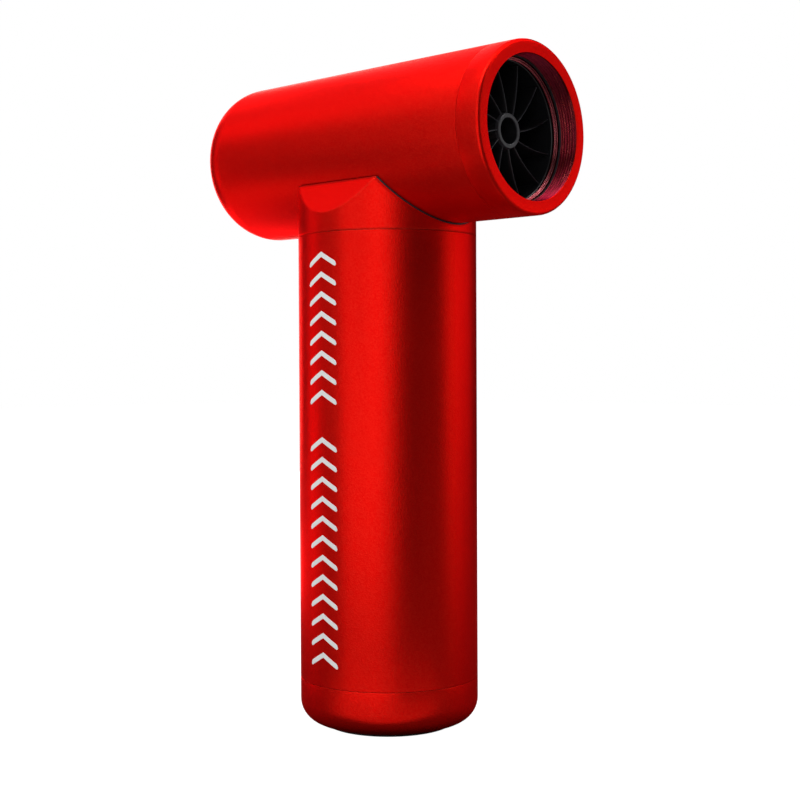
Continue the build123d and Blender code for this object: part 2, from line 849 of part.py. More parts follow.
def make_status_leds():
    half_y = led_size[1] / 2
    half_z = led_size[2] / 2
    leds = []
    face = -board_back - 0.02
    for i in range(led_count):
        y = led_spacing * (i - (led_count - 1) / 2)
        led = block(face - led_size[0], face, -half_y, half_y, light_z - half_z, light_z + half_z)
        leds.append(Pos(0, y, 0) * led)
    return leds


def make_charge_port():
    mouth = board_back + port_depth
    shell = stadium(port_width, port_height, port_z, board_back + 0.02, mouth)
    width = port_width - 2 * port_wall
    inside = stadium(width, port_height - 2 * port_wall, port_z, board_back + 0.8, mouth + 1)
    return shell - inside


def make_port_tongue():
    half = tongue_width / 2
    root = board_back + 0.85
    return block(
        -root - tongue_depth, -root, -half, half, port_z - tongue_thick / 2, port_z + tongue_thick / 2
    )


def make_control_board():
    half = board_width / 2
    board = block(-board_back, -board_front, -half, half, board_bottom, board_top)
    return board - board_posts(board_screw_radius + 0.15, board_front - 1, board_back + 1)


def make_board_screws():
    heads = board_posts(board_screw_head, board_front - 1.1, board_front - 0.02)
    shanks = board_posts(board_screw_radius, board_front - 0.1, board_front + board_screw_length)
    return [head + shank for head, shank in zip(heads, shanks)]


def make_driver_chips():
    depth, width, height = chip_size
    chips = []
    for column in range(2):
        for row in range(2):
            y = -board_width / 2 + 1.2 + column * (width + 0.8)
            z = board_post_z + 2.4 + row * (height + 0.8)
            chips.append(block(-board_front + 0.02, -board_front + depth, y, y + width, z, z + height))
    return chips


def make_capacitor():
    y = board_width / 2 - capacitor_radius - 0.8
    x = -board_front + capacitor_radius + 0.05
    z = board_post_z + 2.4
    can = post(x, y, z, z + capacitor_length, capacitor_radius)
    return fillet(can.edges().filter_by(GeomType.CIRCLE), 0.4)


# ---- Wires ----------------------------------------------------------------------------------
def wire(points, bend):
    """A round wire along straight runs joined by arcs."""
    path = FilletPolyline(*points, radius=bend)
    start = Plane(path @ 0, z_dir=path % 0)
    return sweep(start * Circle(lead_radius), path=path)


def make_motor_leads():
    leads = []
    level = board_top - 1.2
    for i in range(tooth_count):
        y = lead_spacing * (i - (tooth_count - 1) / 2)
        start = (lead_x, y, axis_z - can_radius + can_wall)
        leads.append(wire([start, (lead_x, y, level), (-board_front + 0.05, y, level)], 5.0))
    return leads


def make_battery_leads():
    (plus_x, plus_y), (tap_x, tap_y), (minus_x, minus_y) = cell_places()
    board_x = -board_front + lead_radius / 2
    level = board_bottom + 5.0
    top = upper_frame_top + link_thick + 2 * fit_gap
    leads = [
        wire([(plus_x, plus_y, top), (plus_x, plus_y, level), (board_x, 3.2, level)], 4.0),
        wire([(tap_x, tap_y - 3, top), (tap_x, tap_y - 3, level), (board_x, tap_y - 3, level)], 3.0),
    ]
    strip = lower_frame_bottom - link_thick - 2 * fit_gap
    low = strip - 3.4
    x, y = return_place()
    corner = (return_ring * math.cos(math.radians(282)), return_ring * math.sin(math.radians(282)))
    leads.append(
        wire(
            [
                (minus_x + 1.0, minus_y - 2.0, strip),
                (minus_x + 1.0, minus_y - 2.0, low),
                (*corner, low),
                (x, y, low),
                (x, y, level),
                (board_x, y / 2, level),
            ],
            1.8,
        )
    )
    return leads


# ---- Everything, by name --------------------------------------------------------------------
pieces = {
    "head_shell": make_head_shell,
    "front_collar": make_front_collar,
    "mouth_seal": make_mouth_seal,
    "intake_grille": make_intake_grille,
    "vane_housing": make_vane_housing,
    "inlet_shroud": make_inlet_shroud,
    "front_damper": lambda: make_damper(hub_shoulder + 3),
    "rear_damper": lambda: make_damper(shroud_rear + bell_length + 1),
    "motor_can": make_motor_can,
    "stator_core": make_stator_core,
    "stator_coils": make_stator_coils,
    "motor_shaft": make_motor_shaft,
    "rotor_magnet": make_rotor_magnet,
    "magnet_sleeve": make_magnet_sleeve,
    "bearing_outer_rings": make_bearing_outer_rings,
    "bearing_inner_rings": make_bearing_inner_rings,
    "bearing_balls": make_bearing_balls,
    "preload_spring": make_preload_spring,
    "impeller": make_impeller,
    "impeller_nut": make_impeller_nut,
    "neck": make_neck,
    "neck_gasket": make_neck_gasket,
    "neck_screws": make_neck_screws,
    "handle_tube": make_handle_tube,
    "base_cap": make_base_cap,
    "base_pad": make_base_pad,
    "base_screws": make_base_screws,
    "upper_cell_frame": make_upper_cell_frame,
    "lower_cell_frame": make_lower_cell_frame,
    "cell_links_upper": make_cell_links_upper,
    "cell_links_lower": make_cell_links_lower,
    "battery_leads": make_battery_leads,
    "control_panel": make_control_panel,
    "button_trim": make_button_trim,
    "power_button": make_power_button,
    "switch_plunger": make_switch_plunger,
    "tact_switch": make_tact_switch,
    "light_guide": make_light_guide,
    "status_leds": make_status_leds,
    "charge_port": make_charge_port,
    "port_tongue": make_port_tongue,
    "control_board": make_control_board,
    "board_screws": make_board_screws,
    "driver_chips": make_driver_chips,
    "capacitor": make_capacitor,
    "motor_leads": make_motor_leads,
}
for number, (cell_x, cell_y) in enumerate(cell_places(), 1):
    pieces[f"battery_cell_{number}"] = lambda x=cell_x, y=cell_y: make_battery_cell(x, y)

os.makedirs("parts", exist_ok=True)
for name, make in pieces.items():
    made = make()
    solids = [s for m in (made if isinstance(made, list) else [made]) for s in m.solids()]
    export_step(Compound(children=solids) if len(solids) > 1 else solids[0], f"parts/{name}.step")
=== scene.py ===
import math

import bmesh
import bpy
import numpy as np
from mathutils import Matrix, Vector


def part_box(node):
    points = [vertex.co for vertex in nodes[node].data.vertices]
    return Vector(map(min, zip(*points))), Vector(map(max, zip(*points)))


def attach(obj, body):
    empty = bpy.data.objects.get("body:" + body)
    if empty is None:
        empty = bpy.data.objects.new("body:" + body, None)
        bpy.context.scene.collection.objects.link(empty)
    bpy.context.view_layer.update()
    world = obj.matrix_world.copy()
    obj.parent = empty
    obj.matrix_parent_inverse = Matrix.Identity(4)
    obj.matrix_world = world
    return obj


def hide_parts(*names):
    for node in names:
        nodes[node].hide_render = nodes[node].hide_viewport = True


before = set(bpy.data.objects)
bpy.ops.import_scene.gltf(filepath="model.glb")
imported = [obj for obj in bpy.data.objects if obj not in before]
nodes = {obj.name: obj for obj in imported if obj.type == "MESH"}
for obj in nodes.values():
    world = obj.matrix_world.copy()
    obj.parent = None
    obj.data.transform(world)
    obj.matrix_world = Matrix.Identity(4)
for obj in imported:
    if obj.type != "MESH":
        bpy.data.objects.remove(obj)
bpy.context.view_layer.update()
mm = 0.001

# ---- Studio ---------------------------------------------------------------------------------
# A plain white floor in a white room that gives little light of its own. The camera stands level
# with the grip and sees the mouth and one side. Soft boxes all round it make the gloss.
scene = bpy.context.scene
scene.view_settings.view_transform = "Standard"

camera = bpy.data.objects.new("camera", bpy.data.cameras.new("camera"))
scene.collection.objects.link(camera)
camera.data.lens = 64.22
camera.data.sensor_width = 36
turn = math.radians(42.61)
rise = math.radians(1.10)
roll = math.radians(-0.26)
target = Vector((2.22, 2.04, 81.86)) * mm
camera_distance = 362.44
back = Vector((math.sin(turn) * math.cos(rise), -math.cos(turn) * math.cos(rise), math.sin(rise)))
right = Vector((math.cos(turn), math.sin(turn), 0))
up = back.cross(right)
across = right * math.cos(roll) + up * math.sin(roll)
over = up * math.cos(roll) - right * math.sin(roll)
camera.matrix_world = Matrix((across, over, back)).transposed().to_4x4()
camera.location = target + back * camera_distance * mm
scene.camera = camera

world = bpy.data.worlds.new("room")
scene.world = world
world.use_nodes = True
sky = world.node_tree.nodes
link = world.node_tree.links.new
lit = sky["Background"]
lit.inputs["Color"].default_value = (1.0, 1.0, 1.0, 1)
lit.inputs["Strength"].default_value = 0.058
seen = sky.new("ShaderNodeBackground")
seen.inputs["Strength"].default_value = 1.0
seen.inputs["Color"].default_value = (1, 1, 1, 1)
path = sky.new("ShaderNodeLightPath")
either = sky.new("ShaderNodeMixShader")
link(path.outputs["Is Camera Ray"], either.inputs["Fac"])
link(lit.outputs[0], either.inputs[1])
link(seen.outputs[0], either.inputs[2])
link(either.outputs[0], sky["World Output"].inputs["Surface"])


def soft_box(name, azimuth, elevation, distance, width, height, power):
    """A rectangular area light that faces the dryer, placed by its angles round the grip.
    Azimuth is measured from the camera's own direction, positive to the camera's right."""
    light = bpy.data.lights.new(name, "AREA")
    light.shape = "RECTANGLE"
    light.size = width
    light.size_y = height
    light.energy = power
    box = bpy.data.objects.new(name, light)
    scene.collection.objects.link(box)
    a = math.radians(azimuth) + turn
    e = math.radians(elevation)
    out = Vector((math.sin(a) * math.cos(e), -math.cos(a) * math.cos(e), math.sin(e)))
    box.location = target + out * distance
    box.rotation_euler = out.to_track_quat("Z", "Y").to_euler()
    box.visible_camera = False
    return box


# Tall strips at grip height, boxes above them, one overhead, small ones for the shoulder, the mouth
# and the collar, low boxes under the grip's level, and bounce boards on the floor. Most powers, in
# watts, come from a least-squares fit and are rounded. The others were set or adjusted one by one.
for azimuth, watts in (
    (-170, 2.5), (-155, 2.5), (-110, 0.75), (-80, 0.35), (-65, 0.08), (-50, 0.78), (-36, 0.14),
    (-24, 0.53),
    (-12, 0.58), (0, 0.62), (12, 0.08), (85, 0.32), (112, 0.33), (125, 0.38),
):
    soft_box(f"strip_{azimuth % 360}", azimuth, 8, 0.9, 0.2, 0.9, watts)
for azimuth, watts in ((-150, 0.59), (-120, 0.14), (-90, 0.22), (-60, 0.21), (90, 1.17), (180, 2.5)):
    soft_box(f"high_{azimuth % 360}", azimuth, 40, 0.9, 0.4, 0.3, watts)
for azimuth, watts in ((-100, 0.44), (-50, 2.39), (0, 0.27), (50, 0.4), (100, 1.33)):
    soft_box(f"steep_{azimuth % 360}", azimuth, 64, 0.9, 0.4, 0.3, watts)
soft_box("overhead", 0, 88, 0.9, 0.6, 0.6, 2.5)
soft_box("shoulder", -106, 42, 0.6, 0.25, 0.25, 0.08)
soft_box("mouth_fill", 95, 10, 0.34, 0.12, 0.12, 0.03)
collar_spark = soft_box("collar_spark", -160, 40, 0.2, 0.05, 0.05, 0.05)
collar_spark.location += Vector((43.5, -10.0, 81.0)) * mm
for azimuth, watts in ((-110, 0.045), (-50, 0.045), (-26, 0.04), (-6, 0.035), (50, 0.012), (92, 0.04)):
    soft_box(f"low_{azimuth % 360}", azimuth, -4, 0.5, 0.13, 0.1, watts)
for azimuth, watts in ((-150, 0.32), (-110, 0.11), (-30, 0.17), (90, 0.03)):
    board = soft_box(f"bounce_{azimuth % 360}", azimuth, 0, 0.3, 0.22, 0.22, watts)
    board.location.z = 0.003
    board.rotation_euler = (math.pi, 0, math.radians(azimuth) + turn)
near_board = soft_box("bounce_near", -5, 0, 0.044, 0.09, 0.04, 0.004)
near_board.location.z = 0.003
near_board.rotation_euler = (math.pi, 0, turn + math.radians(-5))


def material(name):
    """An empty material with its Principled shader, and short ways to add nodes and links."""
    mat = bpy.data.materials.new(name)
    mat.use_nodes = True
    return mat, mat.node_tree.nodes, mat.node_tree.links.new, mat.node_tree.nodes["Principled BSDF"]


floor_mesh = bpy.data.meshes.new("floor")
floor_half = 3.0
corner_signs = ((-1, -1), (1, -1), (1, 1), (-1, 1))
floor_corners = [(a * floor_half, b * floor_half, 0) for a, b in corner_signs]
floor_mesh.from_pydata(floor_corners, [], [(0, 1, 2, 3)])
floor = bpy.data.objects.new("floor", floor_mesh)
scene.collection.objects.link(floor)
floor_mat, n, wire, paint = material("floor_white")
paint.inputs["Base Color"].default_value = (0.12, 0.12, 0.12, 1)
paint.inputs["Roughness"].default_value = 0.9
shown = n.new("ShaderNodeLightPath")
white = n.new("ShaderNodeEmission")
white.inputs["Strength"].default_value = 1.0
sum_up = n.new("ShaderNodeAddShader")
pick = n.new("ShaderNodeMixShader")
wire(shown.outputs["Is Camera Ray"], pick.inputs["Fac"])
wire(paint.outputs[0], pick.inputs[1])
wire(paint.outputs[0], sum_up.inputs[0])
wire(white.outputs[0], sum_up.inputs[1])
wire(sum_up.outputs[0], pick.inputs[2])
wire(pick.outputs[0], n["Material Output"].inputs["Surface"])
floor_mesh.materials.append(floor_mat)

# ---- Red anodised shells --------------------------------------------------------------------
# The head, the neck, the handle and the base cap are turned and milled from aluminium, bead
# blasted to a fine even sparkle and dyed red. Their edges are worn a little paler.


def group(name, inputs, outputs):
    """A shader node group with float inputs (name: value) and outputs (name: socket type)."""
    tree = bpy.data.node_groups.new(name, "ShaderNodeTree")
    for label, value in inputs.items():
        socket = tree.interface.new_socket(label, in_out="INPUT", socket_type="NodeSocketFloat")
        socket.default_value = value
    for label, kind in outputs.items():
        tree.interface.new_socket(label, in_out="OUTPUT", socket_type=kind)
    start = tree.nodes.new("NodeGroupInput")
    end = tree.nodes.new("NodeGroupOutput")
    return tree, start.outputs, end.inputs


def math_node(tree, operation, a, b=None, c=None):
    """A maths node whose inputs are sockets or plain numbers; gives its output socket."""
    node = tree.nodes.new("ShaderNodeMath")
    node.operation = operation
    for place, value in enumerate((a, b, c)):
        if value is None:
            continue
        if isinstance(value, (int, float)):
            node.inputs[place].default_value = value
        else:
            tree.links.new(value, node.inputs[place])
    return node.outputs[0]


def object_place(tree, scale):
    """Object coordinates in metres multiplied by a scale socket or number, as a vector socket."""
    where = tree.nodes.new("ShaderNodeTexCoord").outputs["Object"]
    grow = tree.nodes.new("ShaderNodeVectorMath")
    grow.operation = "SCALE"
    tree.links.new(where, grow.inputs[0])
    if isinstance(scale, (int, float)):
        grow.inputs["Scale"].default_value = scale
    else:
        tree.links.new(scale, grow.inputs["Scale"])
    return grow.outputs[0]


def noise(tree, vector, detail=2.0, rough=0.5):
    """Smooth three-dimensional noise between 0 and 1 at a vector socket."""
    node = tree.nodes.new("ShaderNodeTexNoise")
    node.inputs["Scale"].default_value = 1.0
    node.inputs["Detail"].default_value = detail
    node.inputs["Roughness"].default_value = rough
    tree.links.new(vector, node.inputs["Vector"])
    return node.outputs["Fac"]


def grain_group():
    """Blasted or moulded grain: small cells of random height over softer noise, with slow patches."""
    tree, given, out = group(
        "surface_grain",
        {"Cells per metre": 5000.0, "Patches per metre": 60.0},
        {"Height": "NodeSocketFloat", "Fleck": "NodeSocketFloat", "Patch": "NodeSocketFloat"},
    )
    fine = object_place(tree, given["Cells per metre"])
    cells = tree.nodes.new("ShaderNodeTexVoronoi")
    cells.inputs["Scale"].default_value = 1.0
    tree.links.new(fine, cells.inputs["Vector"])
    split = tree.nodes.new("ShaderNodeSeparateColor")
    tree.links.new(cells.outputs["Color"], split.inputs[0])
    soft = noise(tree, fine, 1.0)
    rise_and_soft = math_node(tree, "MULTIPLY_ADD", soft, 0.6, cells.outputs["Distance"])
    tree.links.new(rise_and_soft, out["Height"])
    tree.links.new(split.outputs["Red"], out["Fleck"])
    slow = object_place(tree, given["Patches per metre"])
    tree.links.new(noise(tree, slow, 3.0, 0.6), out["Patch"])
    return tree


def wear_group():
    """Edge wear: how far the rounded normal leans from the true one, broken up by noise."""
    tree, given, out = group(
        "edge_wear",
        {"Radius": 0.0004, "Noise per metre": 900.0},
        {"Mask": "NodeSocketFloat", "Normal": "NodeSocketVector"},
    )
    soft = tree.nodes.new("ShaderNodeBevel")
    soft.samples = 4
    tree.links.new(given["Radius"], soft.inputs["Radius"])
    true = tree.nodes.new("ShaderNodeNewGeometry").outputs["Normal"]
    lean = tree.nodes.new("ShaderNodeVectorMath")
    lean.operation = "DOT_PRODUCT"
    tree.links.new(soft.outputs[0], lean.inputs[0])
    tree.links.new(true, lean.inputs[1])
    off = math_node(tree, "SUBTRACT", 1.0, lean.outputs["Value"])
    broken = noise(tree, object_place(tree, given["Noise per metre"]), 2.0)
    strength = math_node(tree, "MULTIPLY", off, broken)
    mask = math_node(tree, "MULTIPLY", strength, 9.0)
    tree.links.new(math_node(tree, "MINIMUM", mask, 1.0), out["Mask"])
    tree.links.new(soft.outputs[0], out["Normal"])
    return tree


surface_grain = grain_group()
edge_wear = wear_group()


def use(mat, tree, **values):
    """Places a node group in a material with its own values; gives its outputs."""
    node = mat.node_tree.nodes.new("ShaderNodeGroup")
    node.node_tree = tree
    for label, value in values.items():
        node.inputs[label.replace("_", " ")].default_value = value
    return node.outputs


def blend_colour(mat, share, low, high):
    """A mix of two colours (tuples or sockets) by a share socket."""
    node = mat.node_tree.nodes.new("ShaderNodeMix")
    node.data_type = "RGBA"
    mat.node_tree.links.new(share, node.inputs[0])
    for place, value in ((6, low), (7, high)):
        if isinstance(value, tuple):
            node.inputs[place].default_value = (*value, 1)
        else:
            mat.node_tree.links.new(value, node.inputs[place])
    return node.outputs[2]


def spread(mat, share, low, high):
    """A number that runs from low to high as share runs from 0 to 1."""
    node = mat.node_tree.nodes.new("ShaderNodeMapRange")
    node.inputs["To Min"].default_value = low
    node.inputs["To Max"].default_value = high
    mat.node_tree.links.new(share, node.inputs["Value"])
    return node.outputs[0]


def finish(
    name, base, worn, dark, metallic, rough, rough_spread, cells, bump, radius,
    coat=0.0, fleck=0.3, sheen=0.0, tint=(1, 1, 1),
):
    """A finished surface: a base colour with darker patches, paler worn edges, bright flecks,
    uneven roughness, and a grain that lifts the surface by bump metres."""
    mat, n, wire, shader = material(name)
    grain = use(mat, surface_grain, Cells_per_metre=cells)
    wear = use(mat, edge_wear, Radius=radius)
    patched = blend_colour(mat, spread(mat, grain["Patch"], 0.0, 1.0), dark, base)
    flecked = blend_colour(mat, spread(mat, grain["Fleck"], 0.0, fleck), patched, worn)
    edged = blend_colour(mat, wear["Mask"], flecked, worn)
    wire(edged, shader.inputs["Base Color"])
    uneven = spread(mat, grain["Patch"], rough - rough_spread, rough + rough_spread)
    wire(uneven, shader.inputs["Roughness"])
    lift = n.new("ShaderNodeBump")
    lift.inputs["Distance"].default_value = bump
    lift.inputs["Strength"].default_value = 1.0
    wire(grain["Height"], lift.inputs["Height"])
    wire(wear["Normal"], lift.inputs["Normal"])
    wire(lift.outputs[0], shader.inputs["Normal"])
    shader.inputs["Metallic"].default_value = metallic
    shader.inputs["Coat Weight"].default_value = coat
    shader.inputs["Coat Roughness"].default_value = 0.5
    shader.inputs["Sheen Weight"].default_value = sheen
    shader.inputs["Specular Tint"].default_value = (*tint, 1)
    return mat


def dress(mat, *names):
    """Puts a material on CAD nodes."""
    for name in names:
        for place in nodes[name].material_slots:
            place.material = mat


def red_anodised(name, worn_radius):
    """The blasted and dyed red; the neck's edges are softer, so its wear reaches further."""
    return finish(
        name, (0.90, 0.003, 0.0008), (0.98, 0.03, 0.015), (0.84, 0.002, 0.0006),
        1.0, 0.35, 0.03, 3300.0, 0.00003, worn_radius, coat=0.06, fleck=0.3, tint=(0.9, 0.06, 0.03),
    )


red_shell = red_anodised("red_anodised", 0.00015)
red_neck = red_anodised("red_anodised_neck", 0.0009)
dress(red_shell, "handle_tube")
dress(red_neck, "neck")


def rounded(corners, steps=5):
    """An outline with arcs at its corners. Each corner is (along, out, radius): its two sides are
    cut back by radius / tan(half the inside angle), and a circular arc joins the two cuts."""
    points = np.array([c[:2] for c in corners], float)
    before = np.roll(points, 1, 0) - points
    after = np.roll(points, -1, 0) - points
    before /= np.linalg.norm(before, axis=1, keepdims=True)
    after /= np.linalg.norm(after, axis=1, keepdims=True)
    made = []
    for corner, a, b, (_, _, radius) in zip(points, before, after, corners):
        inside = math.acos(float(np.clip(a @ b, -1, 1)))
        bend = math.pi - inside
        if radius <= 0 or bend < 0.02:
            made.append(corner[None])
            continue
        middle = corner + (a + b) / np.linalg.norm(a + b) * radius / math.sin(inside / 2)
        first = corner + a * radius / math.tan(inside / 2) - middle
        last = corner + b * radius / math.tan(inside / 2) - middle
        count = max(steps, int(bend * radius / 0.8) + 1)
        t = np.linspace(0, bend, count + 1)[:, None]
        made.append(middle + (first * np.sin(bend - t) + last * np.sin(t)) / math.sin(bend))
    return np.concatenate(made)


def grid_faces(rows, columns, wrap_rows=False):
    """Quads of a grid of points numbered row by row; each row is a closed ring of columns."""
    r = np.arange(rows if wrap_rows else rows - 1)[:, None]
    c = np.arange(columns)[None, :]
    r2 = (r + 1) % rows
    c2 = (c + 1) % columns
    corners = (r * columns + c, r * columns + c2, r2 * columns + c2, r2 * columns + c)
    return np.stack([np.broadcast_to(k, (r.size, c.size)) for k in corners], -1).reshape(-1, 4)


def make_piece(name, shells, mat, body, smooth_angle=35, replaces=()):
    """A piece from closed shells (points in millimetres, faces). Normals are turned outwards, and
    the surface is smooth except across edges sharper than smooth_angle."""
    points = np.concatenate([np.asarray(p).reshape(-1, 3) for p, _ in shells])
    starts = np.cumsum([0] + [np.asarray(p).reshape(-1, 3).shape[0] for p, _ in shells])
    faces = [list(map(int, np.asarray(f) + s)) for (_, fs), s in zip(shells, starts) for f in fs]
    mesh = bpy.data.meshes.new(name)
    mesh.from_pydata((points * mm).tolist(), [], faces)
    work = bmesh.new()
    work.from_mesh(mesh)
    bmesh.ops.remove_doubles(work, verts=work.verts, dist=1e-7)
    bmesh.ops.delete(work, geom=[e for e in work.edges if e.is_wire], context="EDGES")
    bmesh.ops.recalc_face_normals(work, faces=work.faces)
    work.to_mesh(mesh)
    work.free()
    mesh.materials.append(mat)
    mesh.polygons.foreach_set("use_smooth", [True] * len(mesh.polygons))
    mesh.set_sharp_from_angle(angle=math.radians(smooth_angle))
    piece = bpy.data.objects.new(name, mesh)
    scene.collection.objects.link(piece)
    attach(piece, body)
    if replaces:
        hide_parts(*replaces)
    return piece


head_z = 145.4


def turned_on_head(outline, turns=192):
    """A shell turned on the head's axis: (along, out) goes to (along, out sin a, head_z + out cos a)."""
    a = np.linspace(0, 2 * np.pi, turns, endpoint=False)
    along, out = outline[:, :1], outline[:, 1:]
    x = np.broadcast_to(along, (len(outline), turns))
    points = np.stack([x, out * np.sin(a), head_z + out * np.cos(a)], -1)
    return points.reshape(-1, 3), grid_faces(len(outline), turns, wrap_rows=True)


def turned_upright(outline, turns=192):
    """A shell turned on the grip's axis: (up, out) goes to (out cos a, out sin a, up)."""
    a = np.linspace(0, 2 * np.pi, turns, endpoint=False)
    height, out = outline[:, :1], outline[:, 1:]
    z = np.broadcast_to(height, (len(outline), turns))
    points = np.stack([out * np.cos(a), out * np.sin(a), z], -1)
    return points.reshape(-1, 3), grid_faces(len(outline), turns, wrap_rows=True)


def span(node):
    """A CAD node's lowest and highest corners in millimetres."""
    low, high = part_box(node)
    return np.array(low) / mm, np.array(high) / mm


# The head's tube: one turned piece, closed in to a round opening at the rear.
low, high = span("head_shell")
head_radius = (high[1] - low[1]) / 2
head_wall = 1.8
head_bore = head_radius - head_wall
opening = span("intake_grille")[1][1] + 0.1
rear_end = -52.0
rear_round = 11.0
dome_centre = rear_end + rear_round
start = math.acos((opening - head_radius + rear_round) / rear_round)
sweep = np.linspace(math.pi / 2 + start, math.pi / 2, 24)


def rear_arc(radius, angles):
    """Points (along, out) on an arc about the centre of the head's rounded rear."""
    along = dome_centre + radius * np.cos(angles)
    out = head_radius - rear_round + radius * np.sin(angles)
    return np.stack([along, out], -1)


dome = rear_arc(rear_round, sweep)
well = rear_arc(rear_round - head_wall, sweep[::-1])
well = well[well[:, 1] > opening]
front_edge = rounded(
    [
        (high[0], head_bore, 0.1), (high[0], head_radius, 0.06),
        (dome_centre, head_radius, 0), (dome_centre, head_bore, 0),
    ],
    4,
)
outline = np.concatenate([front_edge[:-2], dome[::-1], [(well[-1, 0], opening)], well[::-1]])
make_piece(
    "head_tube", [turned_on_head(outline)],
    red_shell, "housing", replaces=["head_shell"],
)

# The base cap: a shallow turned cup with a full rounded edge, pressed into the handle's end.
low, high = span("base_cap")
grip = 22.5
seam = 12.15
cap_spigot = 20.45
cap_bore = 18.45
cap_floor = 4.0
pad_recess = 16.3
recess_top = 1.65
cap_outline = rounded(
    [
        (low[2], pad_recess, 0.1), (low[2], grip, 5.8), (seam, grip, 0.08), (seam, cap_spigot, 0.1),
        (high[2], cap_spigot, 0.3), (high[2], cap_bore, 0.3), (cap_floor, cap_bore, 2.0),
        (cap_floor, 0, 0), (recess_top, 0, 0), (recess_top, pad_recess, 0),
    ]
)
make_piece(
    "base_cup", [turned_upright(cap_outline)],
    red_shell, "housing", replaces=["base_cap"],
)

# The white print on the left of the grip: two runs of thin chevrons that point up to the head.
print_white = finish(
    "print_white", (0.95, 0.95, 0.95), (0.99, 0.99, 0.99), (0.91, 0.91, 0.91),
    0.0, 0.5, 0.05, 2500.0, 0.000004, 0.0001,
)
print_face = grip + 0.02
print_sink = 1 - 0.15 / grip
print_middle = math.radians(-92.5)
half_width = math.radians(12.2)
stroke = 1.3
chevron_rise = 2.6
lower_run = np.linspace(17.5, 70.0, 12)
upper_run = np.linspace(81.5, 115.0, 8)
u = np.linspace(-half_width, half_width, 41)[None, :]
v = np.linspace(-0.5, 0.5, 5)[:, None]
rows, columns = v.size, u.size
index = np.arange(rows * columns).reshape(rows, columns)
quads = np.stack([index[:-1, :-1], index[:-1, 1:], index[1:, 1:], index[1:, :-1]], -1).reshape(-1, 4)
rim = np.concatenate([index[0, :-1], index[:-1, -1], index[-1, :0:-1], index[:0:-1, 0]])
behind = rim + rows * columns
edge_quads = np.stack([rim, np.roll(rim, -1), np.roll(behind, -1), behind], -1)
chevron_faces = np.concatenate([quads, quads[:, ::-1] + rows * columns, edge_quads[:, ::-1]])
shells = []
for foot in np.concatenate([lower_run, upper_run]):
    near_end = np.clip((half_width - np.abs(u)) * print_face / (stroke / 2), 0, 1)
    thick = stroke * np.sqrt(1 - (1 - near_end) ** 2) * 0.96 + stroke * 0.04
    height = foot + chevron_rise * (1 - np.abs(u) / half_width) + v * thick
    angle = print_middle + u + 0 * v
    face_points = np.stack([print_face * np.cos(angle), print_face * np.sin(angle), height], -1)
    back_points = face_points * np.array([print_sink, print_sink, 1])
    points = np.concatenate([face_points.reshape(-1, 3), back_points.reshape(-1, 3)])
    shells.append((points, chevron_faces))
make_piece("grip_print", shells, print_white, "housing", smooth_angle=50)

# ---- Front collar ---------------------------------------------------------------------------
# The ring at the mouth, turned from the same red aluminium. A fine internal thread takes the
# nozzles; behind it a groove holds the black seal, and a stepped lip stops the air duct.
# The thread wears a dark violet copy of the red. This is painted shade inside the mouth, on aluminium as red
# as the outside.
thread_painted_shade = finish(
    "thread_painted_shade", (0.28, 0.008, 0.024), (0.95, 0.16, 0.16), (0.12, 0.008, 0.028),
    1.0, 0.26, 0.04, 5200.0, 0.000004, 0.0002, fleck=0.08, tint=(0.9, 0.1, 0.08),
)
# The lip wears a darker, pinker copy of the red with pale pink edges. This is painted shade deep in the
# mouth, with painted highlight lines along its edges.
lip_painted_light = finish(
    "lip_painted_light", (0.55, 0.05, 0.07), (0.95, 0.5, 0.55), (0.35, 0.03, 0.05),
    1.0, 0.24, 0.04, 5200.0, 0.000004, 0.0002, fleck=0.08, tint=(0.9, 0.5, 0.5),
)
low, high = span("front_collar")
front = high[0]
seam_x = 40.0
thread_pitch = 0.75
thread_minor = 16.994
thread_depth = 0.406
thread_end = front - 4.7
lip_front = thread_end - 0.8
lip_back = lip_front - 1.2
step_back = lip_front - 0.55
thread_start = front - 0.14
collar_outer = 20.3
collar_spigot = 18.45
duct_seat = 17.55
lip_bore = 16.3
step_bore = 16.62
seal_groove = 17.8
outline = rounded(
    [
        (front, thread_minor, 0.1),
        (front, collar_outer, 0.8),
        (seam_x, collar_outer, 0.06),
        (seam_x, collar_spigot, 0.1),
        (low[0], collar_spigot, 0.2),
        (low[0], duct_seat, 0.2),
        (lip_back, duct_seat, 0.05),
        (lip_back, lip_bore, 0.15),
        (step_back, lip_bore, 0.12),
        (step_back, step_bore, 0.05),
        (lip_front, step_bore, 0.12),
        (lip_front, seal_groove, 0.1),
        (thread_end, seal_groove, 0.1),
    ]
)
turns = 256
thread_x = np.linspace(thread_end, thread_start, 52)
along = np.concatenate([outline[:, 0], thread_x])
out = np.concatenate([outline[:, 1], np.full(len(thread_x), thread_minor)])
cut = np.concatenate([np.zeros(len(outline)), np.clip((thread_start - thread_x) / 0.5, 0, 1)])
phase = along[:, None] / thread_pitch - np.arange(turns)[None, :] / turns
groove = np.clip(np.abs((phase % 1.0) * 2 - 1) * 1.25 - 0.12, 0, 1)
radii = out[:, None] + thread_depth * cut[:, None] * groove
a = np.linspace(0, 2 * np.pi, turns, endpoint=False)
ring_x = np.broadcast_to(along[:, None], radii.shape)
points = np.stack([ring_x, radii * np.sin(a), head_z + radii * np.cos(a)], -1)
collar = make_piece(
    "collar_ring", [(points, grid_faces(len(along), turns, wrap_rows=True))],
    red_shell, "housing", smooth_angle=40, replaces=["front_collar"],
)
collar.data.materials.append(thread_painted_shade)
centres = np.zeros(len(collar.data.polygons) * 3)
collar.data.polygons.foreach_get("center", centres)
centres = centres.reshape(-1, 3) / mm
collar.data.materials.append(lip_painted_light)
